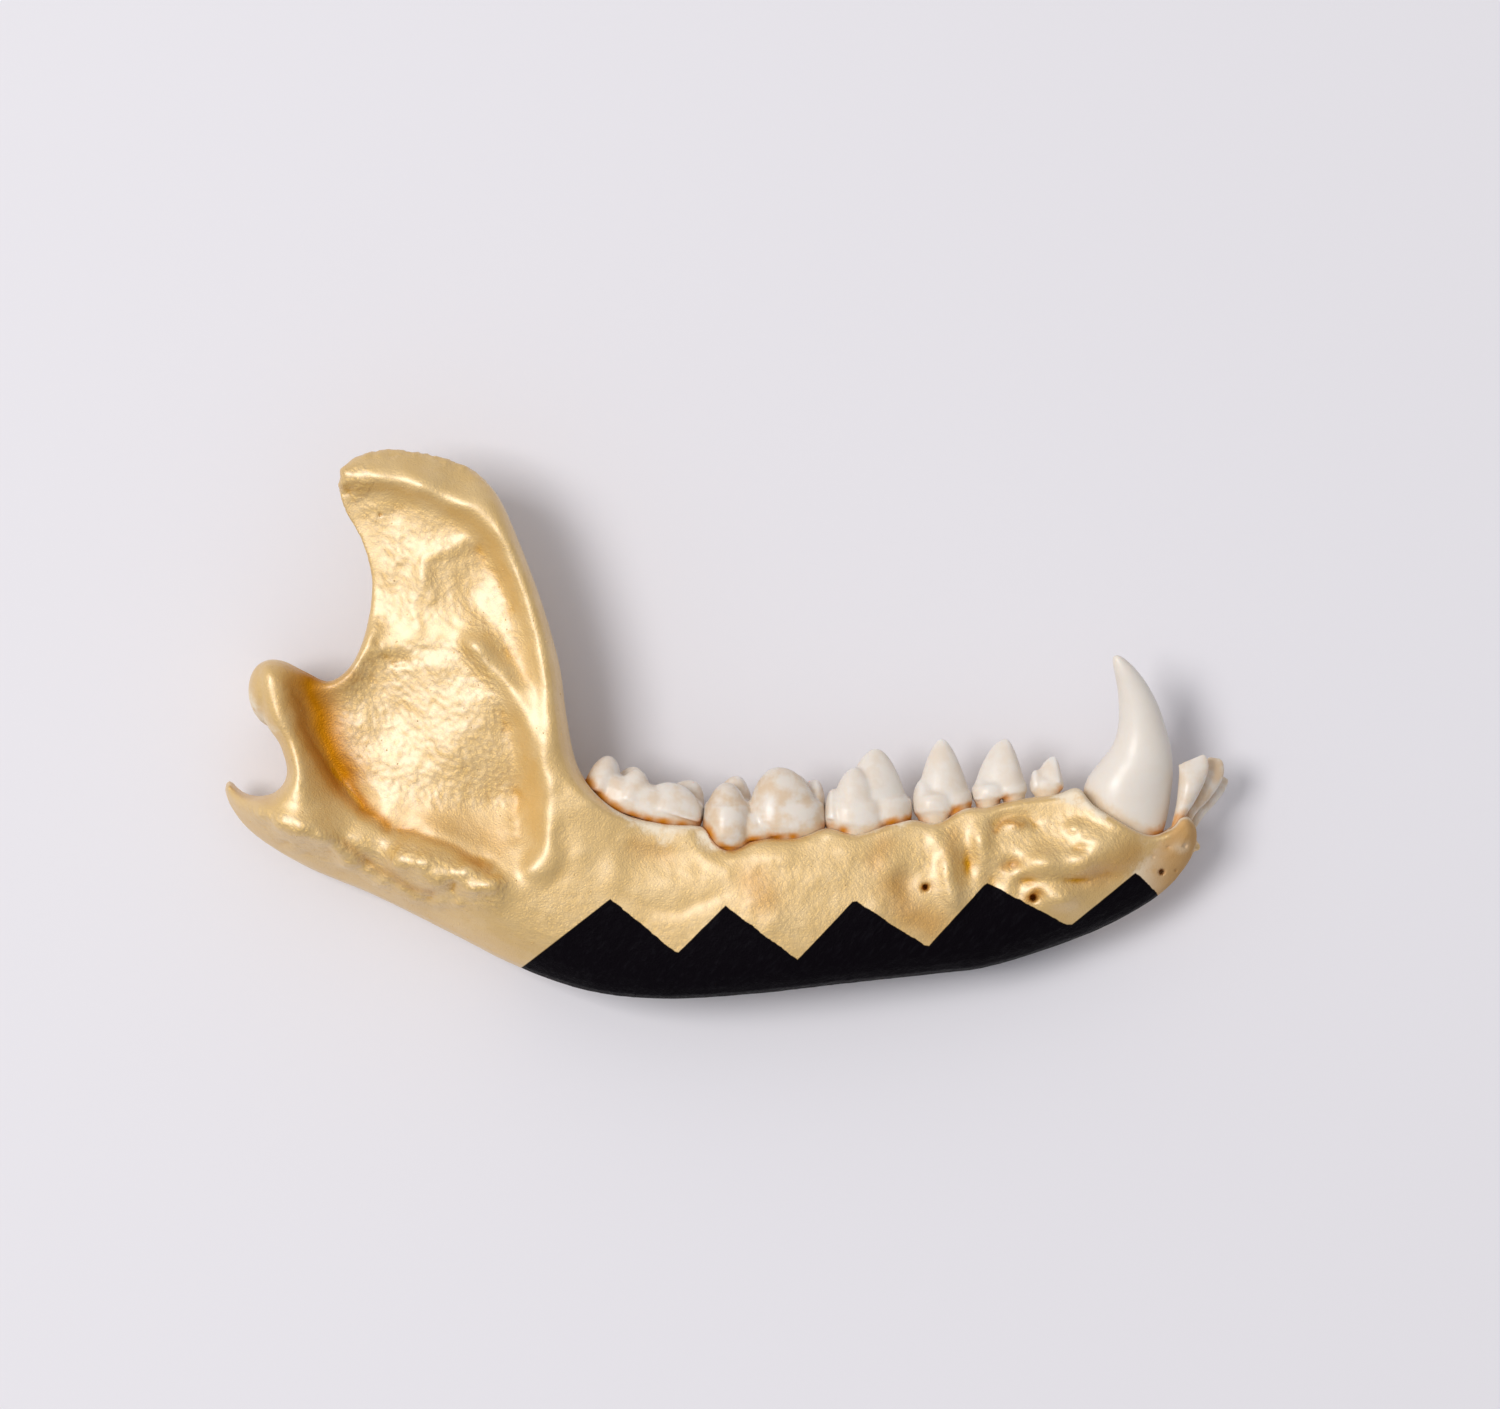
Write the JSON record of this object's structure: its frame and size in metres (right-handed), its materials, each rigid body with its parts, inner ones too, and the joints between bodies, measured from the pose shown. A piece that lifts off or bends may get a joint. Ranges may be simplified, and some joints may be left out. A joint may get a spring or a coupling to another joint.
{
  "type": "raccoon jawbone",
  "caption": "Right half of a raccoon's lower jaw with its teeth, lying on its inner side, painted gold with a dark zigzag along the lower border.",
  "frame": {"origin": "middle of the part's footprint box, at the level that it rests on", "axes": "+X from the jaw joint to the front teeth, +Y from the lower border to the tooth row, +Z from the inner to the outer side of the jaw"},
  "size_m": [0.084, 0.0454, 0.0141],
  "materials": {
    "painted_bone": "pearly gold paint with a black zigzag, bare cream bone along the tooth row and chin",
    "enamel": "polished enamel, stained brown at the necks"
  },
  "bodies": {
    "root": {"mandible": "painted_bone", "canine": "enamel", "tooth_i1": "enamel", "tooth_i2": "enamel", "tooth_i3": "enamel", "tooth_m1": "enamel", "tooth_m2": "enamel", "tooth_p1": "enamel", "tooth_p2": "enamel", "tooth_p3": "enamel", "tooth_p4": "enamel"}
  },
  "joints": []
}
